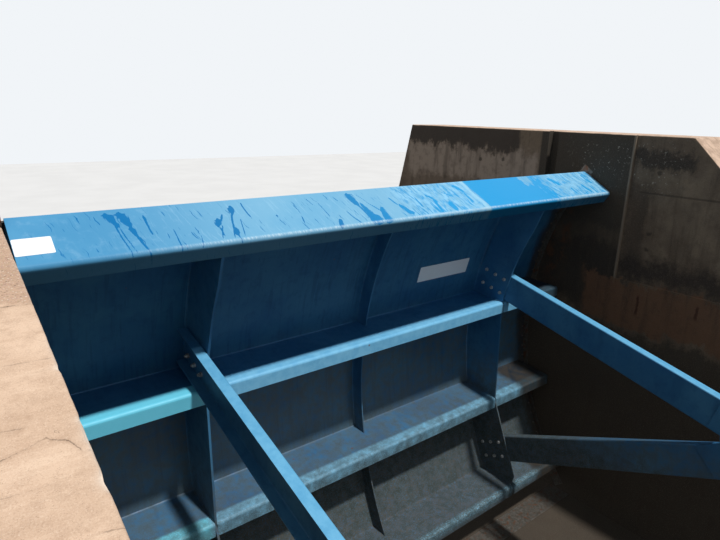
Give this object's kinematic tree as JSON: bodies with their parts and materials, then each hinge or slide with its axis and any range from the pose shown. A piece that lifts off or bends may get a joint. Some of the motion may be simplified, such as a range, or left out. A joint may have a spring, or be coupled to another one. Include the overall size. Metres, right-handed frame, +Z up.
{
  "type": "radial sluice gate",
  "caption": "Blue radial sluice gate with an overflow lip, on arms that turn about a hinge line between concrete channel walls.",
  "frame": {"origin": "middle of the foot of the walls, halfway along the stretch of channel", "axes": "+X across the channel, towards the high wall; +Y upstream; +Z up"},
  "size_m": [8.1, 7.9, 5.4807],
  "materials": {
    "pale_concrete": "rough",
    "stained_concrete": "rough",
    "blue_paint": "semi-gloss",
    "rubber": "matte",
    "bare_steel": "satin"
  },
  "bodies": {
    "structure": {"floor_slab": "stained_concrete", "left_wall": "pale_concrete", "right_wall": "stained_concrete", "sill_beam": "bare_steel", "left_seal_track": "bare_steel", "right_seal_track": "bare_steel", "trunnion_girder": "blue_paint", "left_bracket": "blue_paint", "right_bracket": "blue_paint", "left_pin": "bare_steel", "right_pin": "bare_steel"},
    "gate": {"skin_plate": "blue_paint", "crest_lip": "blue_paint", "left_main_rib": "blue_paint", "right_main_rib": "blue_paint", "upper_beam_left": "blue_paint", "upper_beam_centre": "blue_paint", "upper_beam_right": "blue_paint", "middle_beam_left": "blue_paint", "middle_beam_centre": "blue_paint", "middle_beam_right": "blue_paint", "bottom_beam_left": "blue_paint", "bottom_beam_centre": "blue_paint", "bottom_beam_right": "blue_paint", "centre_rib_top": "blue_paint", "centre_rib_upper": "blue_paint", "centre_rib_lower": "blue_paint", "centre_rib_bottom": "blue_paint", "bottom_edge_bar": "blue_paint", "left_upper_arm": "blue_paint", "left_lower_arm": "blue_paint", "right_upper_arm": "blue_paint", "right_lower_arm": "blue_paint", "left_hub_plate": "blue_paint", "right_hub_plate": "blue_paint", "left_hub": "blue_paint", "right_hub": "blue_paint", "left_side_seal": "rubber", "right_side_seal": "rubber", "bottom_seal": "rubber", "left_seal_bar": "bare_steel", "right_seal_bar": "bare_steel", "bottom_seal_bar": "bare_steel"}
  },
  "joints": [
    {"name": "gate_hinge", "type": "hinge", "parent": "structure", "child": "gate", "pos_m": [0, -2.75, 2.83072], "axis": [1, 0, 0], "range_deg": [-5, 30]}
  ]
}
